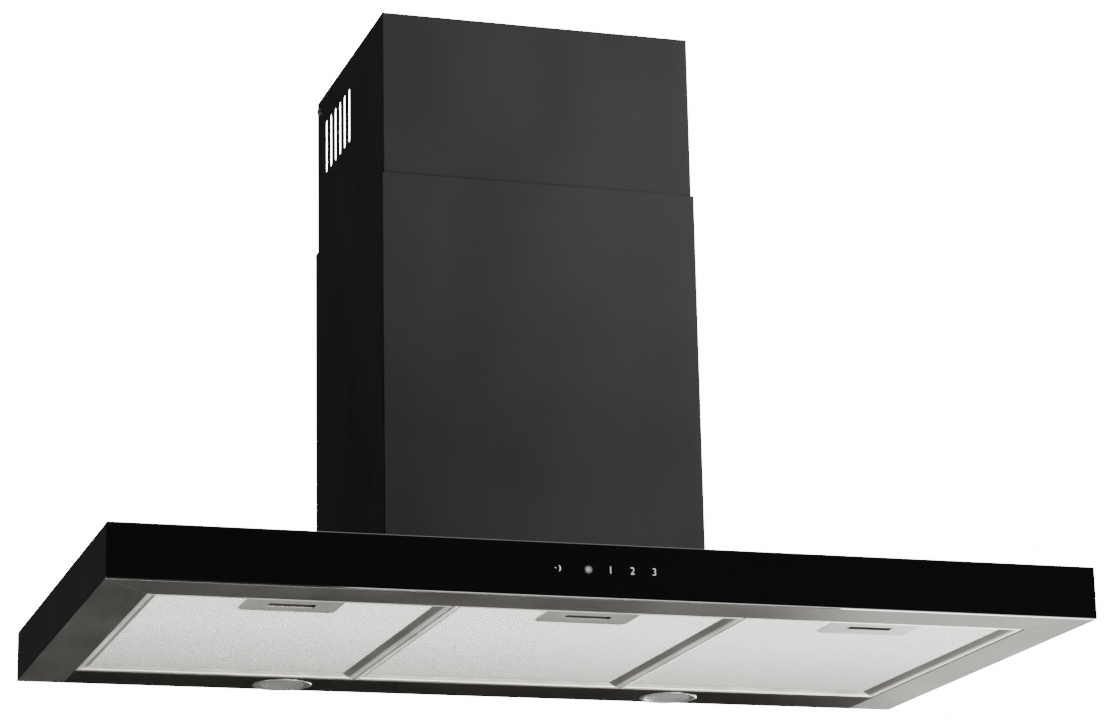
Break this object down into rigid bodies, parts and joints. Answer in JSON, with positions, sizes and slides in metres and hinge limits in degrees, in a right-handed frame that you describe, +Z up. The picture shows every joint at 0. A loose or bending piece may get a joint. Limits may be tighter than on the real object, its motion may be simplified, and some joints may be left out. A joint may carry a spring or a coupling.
{
  "type": "wall-mounted range hood",
  "caption": "Wide flat canopy hood with a black glass front, touch control, grease filters underneath, two lamps, a blower and a telescopic chimney.",
  "frame": {"origin": "on the wall plane, at the middle of the canopy's lower edge", "axes": "+X to the right as seen from the room, +Y into the wall, +Z up"},
  "size_m": [0.9, 0.49, 0.6116],
  "materials": {
    "black_coated_steel": "satin powder coat",
    "black_glass": "gloss tempered glass with a black back",
    "satin_steel": "dark satin",
    "lamp_panel_steel": "dark satin",
    "rail_steel": "satin",
    "filter_aluminium": "satin",
    "mesh_aluminium": "expanded mesh",
    "latch_steel": "satin",
    "spring_steel": "bright",
    "lamp_ring_steel": "brushed",
    "lamp_lens": "frosted",
    "circuit_board": "solder resist",
    "led_board": "white solder resist",
    "foam_tape": "matt",
    "silicone": "matt",
    "white_abs": "moulded",
    "black_abs": "moulded",
    "galvanised_steel": "spangled zinc",
    "motor_steel": "turned",
    "bright_steel": "ground",
    "zinc_screw": "zinc plated",
    "white_plastic_can": "moulded",
    "black_nylon": "moulded"
  },
  "bodies": {
    "hood_body": {"canopy_shell": "black_coated_steel", "rim_front": "satin_steel", "rim_left": "satin_steel", "rim_right": "satin_steel", "rear_lamp_panel": "lamp_panel_steel", "front_glass": "black_glass", "glass_tape": "foam_tape", "filter_front_rail": "rail_steel", "filter_rear_rail": "rail_steel", "left_lamp_bezel": "lamp_ring_steel", "right_lamp_bezel": "lamp_ring_steel", "left_lamp_lens": "lamp_lens", "right_lamp_lens": "lamp_lens", "left_led_board": "led_board", "right_led_board": "led_board", "lamp_spring_clips": "latch_steel", "touch_board": "circuit_board", "touch_pads": "silicone", "touch_carrier": "white_abs", "power_box": "white_abs", "power_box_lid": "white_abs", "led_driver": "white_abs", "blower_box": "galvanised_steel", "scroll_left": "black_abs", "scroll_right": "black_abs", "inlet_ring_left": "black_abs", "inlet_ring_right": "black_abs", "motor_bracket": "galvanised_steel", "motor_can": "motor_steel", "capacitor": "white_plastic_can", "outlet_collar": "black_abs", "flap_pin": "bright_steel", "cable_gland": "black_nylon", "chimney_lower": "black_coated_steel", "cover_feet": "galvanised_steel", "blower_box_screws": "zinc_screw"},
    "fan_wheel": {"impeller": "black_abs", "motor_shaft": "bright_steel"},
    "front_flap": {"flap_front": "black_abs"},
    "rear_flap": {"flap_rear": "black_abs"},
    "upper_cover": {"chimney_upper": "black_coated_steel", "ceiling_bracket": "galvanised_steel", "upper_cover_screws": "zinc_screw"},
    "left_filter": {"left_filter_frame": "filter_aluminium", "left_filter_mesh": "mesh_aluminium", "left_latch_plate": "latch_steel", "left_latch_spring": "spring_steel"},
    "left_latch": {"left_latch_slider": "latch_steel"},
    "middle_filter": {"middle_filter_frame": "filter_aluminium", "middle_filter_mesh": "mesh_aluminium", "middle_latch_plate": "latch_steel", "middle_latch_spring": "spring_steel"},
    "middle_latch": {"middle_latch_slider": "latch_steel"},
    "right_filter": {"right_filter_frame": "filter_aluminium", "right_filter_mesh": "mesh_aluminium", "right_latch_plate": "latch_steel", "right_latch_spring": "spring_steel"},
    "right_latch": {"right_latch_slider": "latch_steel"}
  },
  "joints": [
    {"name": "upper_cover_slide", "type": "slide", "parent": "hood_body", "child": "upper_cover", "axis": [0, 0, 1], "range_m": [-0.14, 0.18]},
    {"name": "fan_spin", "type": "hinge", "parent": "hood_body", "child": "fan_wheel", "pos_m": [0, -0.1355, 0.178], "axis": [1, 0, 0], "continuous": true},
    {"name": "front_flap_hinge", "type": "hinge", "parent": "hood_body", "child": "front_flap", "pos_m": [0, -0.09588, 0.32], "axis": [-1, 0, 0], "range_deg": [0, 75]},
    {"name": "rear_flap_hinge", "type": "hinge", "parent": "hood_body", "child": "rear_flap", "pos_m": [0, -0.09588, 0.32], "axis": [1, 0, 0], "range_deg": [0, 75]},
    {"name": "left_filter_hinge", "type": "hinge", "parent": "hood_body", "child": "left_filter", "pos_m": [-0.26983, -0.0635, 0.0006], "axis": [1, 0, 0], "range_deg": [0, 65]},
    {"name": "left_latch_slide", "type": "slide", "parent": "left_filter", "child": "left_latch", "axis": [0, 1, 0], "range_m": [0, 0.006], "stiffness_N_per_m": 300, "springref_m": -0.008, "deforming": ["left_latch_spring"]},
    {"name": "middle_filter_hinge", "type": "hinge", "parent": "hood_body", "child": "middle_filter", "pos_m": [0, -0.0635, 0.0006], "axis": [1, 0, 0], "range_deg": [0, 65]},
    {"name": "middle_latch_slide", "type": "slide", "parent": "middle_filter", "child": "middle_latch", "axis": [0, 1, 0], "range_m": [0, 0.006], "stiffness_N_per_m": 300, "springref_m": -0.008, "deforming": ["middle_latch_spring"]},
    {"name": "right_filter_hinge", "type": "hinge", "parent": "hood_body", "child": "right_filter", "pos_m": [0.26983, -0.0635, 0.0006], "axis": [1, 0, 0], "range_deg": [0, 65]},
    {"name": "right_latch_slide", "type": "slide", "parent": "right_filter", "child": "right_latch", "axis": [0, 1, 0], "range_m": [0, 0.006], "stiffness_N_per_m": 300, "springref_m": -0.008, "deforming": ["right_latch_spring"]}
  ]
}
